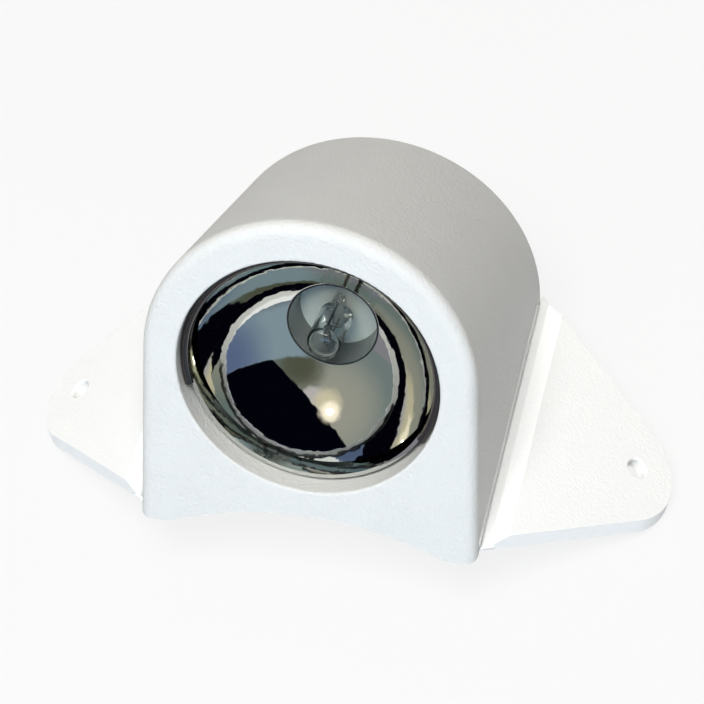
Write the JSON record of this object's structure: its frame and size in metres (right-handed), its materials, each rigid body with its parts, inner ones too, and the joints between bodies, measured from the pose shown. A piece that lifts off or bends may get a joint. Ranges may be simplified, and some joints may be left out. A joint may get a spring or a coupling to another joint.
{
  "type": "halogen deck light",
  "caption": "White moulded mast-mounted halogen deck light: an arched hood with a slanted face, a round mirror lamp with a bare quartz capsule, and a flexing screw ear on each side.",
  "frame": {"origin": "on the mounting side, at the middle of the foot of the face", "axes": "+X to the right as the face is seen, +Y back along the mast, +Z away from the mast"},
  "size_m": [0.1324, 0.0791, 0.0889],
  "materials": {
    "white_moulding": "fine pebble grain",
    "silicone": "matt",
    "spring_wire": "drawn wire",
    "polished_reflector": "polished, vacuum coated",
    "ceramic": "unglazed",
    "cement": "coarse",
    "pin_wire": "drawn wire",
    "quartz": "clear",
    "tungsten": "drawn wire",
    "foil": "rolled",
    "contact_metal": "stamped",
    "screw_steel": "machined",
    "plated_sheet": "zinc plated",
    "lead_sleeve": "satin",
    "ferrule_metal": "tin plated",
    "block_nylon": "satin",
    "brass": "drawn"
  },
  "bodies": {
    "housing": {"housing": "white_moulding", "rim_gasket": "silicone", "lampholder": "ceramic", "lampholder_cover": "ceramic", "lampholder_contacts": "contact_metal", "lampholder_screws": "screw_steel", "lampholder_bracket": "plated_sheet", "bracket_screws": "screw_steel", "left_lead": "lead_sleeve", "right_lead": "lead_sleeve", "lead_ferrules": "ferrule_metal", "terminal_block": "block_nylon", "terminal_tubes": "brass", "terminal_screws": "screw_steel", "block_screw": "screw_steel"},
    "left_ear": {"left_ear": "white_moulding"},
    "right_ear": {"right_ear": "white_moulding"},
    "retaining_ring": {"retaining_ring": "spring_wire"},
    "lamp": {"lamp_reflector": "polished_reflector", "lamp_cap": "ceramic", "lamp_cement": "cement", "lamp_pins": "pin_wire", "lamp_capsule": "quartz", "filament": "tungsten", "filament_legs": "tungsten", "seal_foils": "foil", "outer_wires": "pin_wire"}
  },
  "joints": [
    {"name": "left_ear_flex", "type": "hinge", "parent": "housing", "child": "left_ear", "pos_m": [-0.03442, 0.03584, 0.00045], "axis": [0.0133, 0.9999, 0], "range_deg": [-10, 34.5], "stiffness_Nm_per_rad": 0.05},
    {"name": "right_ear_flex", "type": "hinge", "parent": "housing", "child": "right_ear", "pos_m": [0.03442, 0.03584, 0.00045], "axis": [0.0133, -0.9999, 0], "range_deg": [-10, 34.5], "stiffness_Nm_per_rad": 0.05},
    {"name": "ring_removal", "type": "slide", "parent": "housing", "child": "retaining_ring", "axis": [0, -0.9397, 0.342], "range_m": [0, 0.06]},
    {"name": "lamp_removal", "type": "slide", "parent": "housing", "child": "lamp", "axis": [0, -0.9397, 0.342], "range_m": [0, 0.051]}
  ],
  "couplings": [
    {"joint": "lamp_removal", "follows": "ring_removal", "ratio": 0.85}
  ]
}
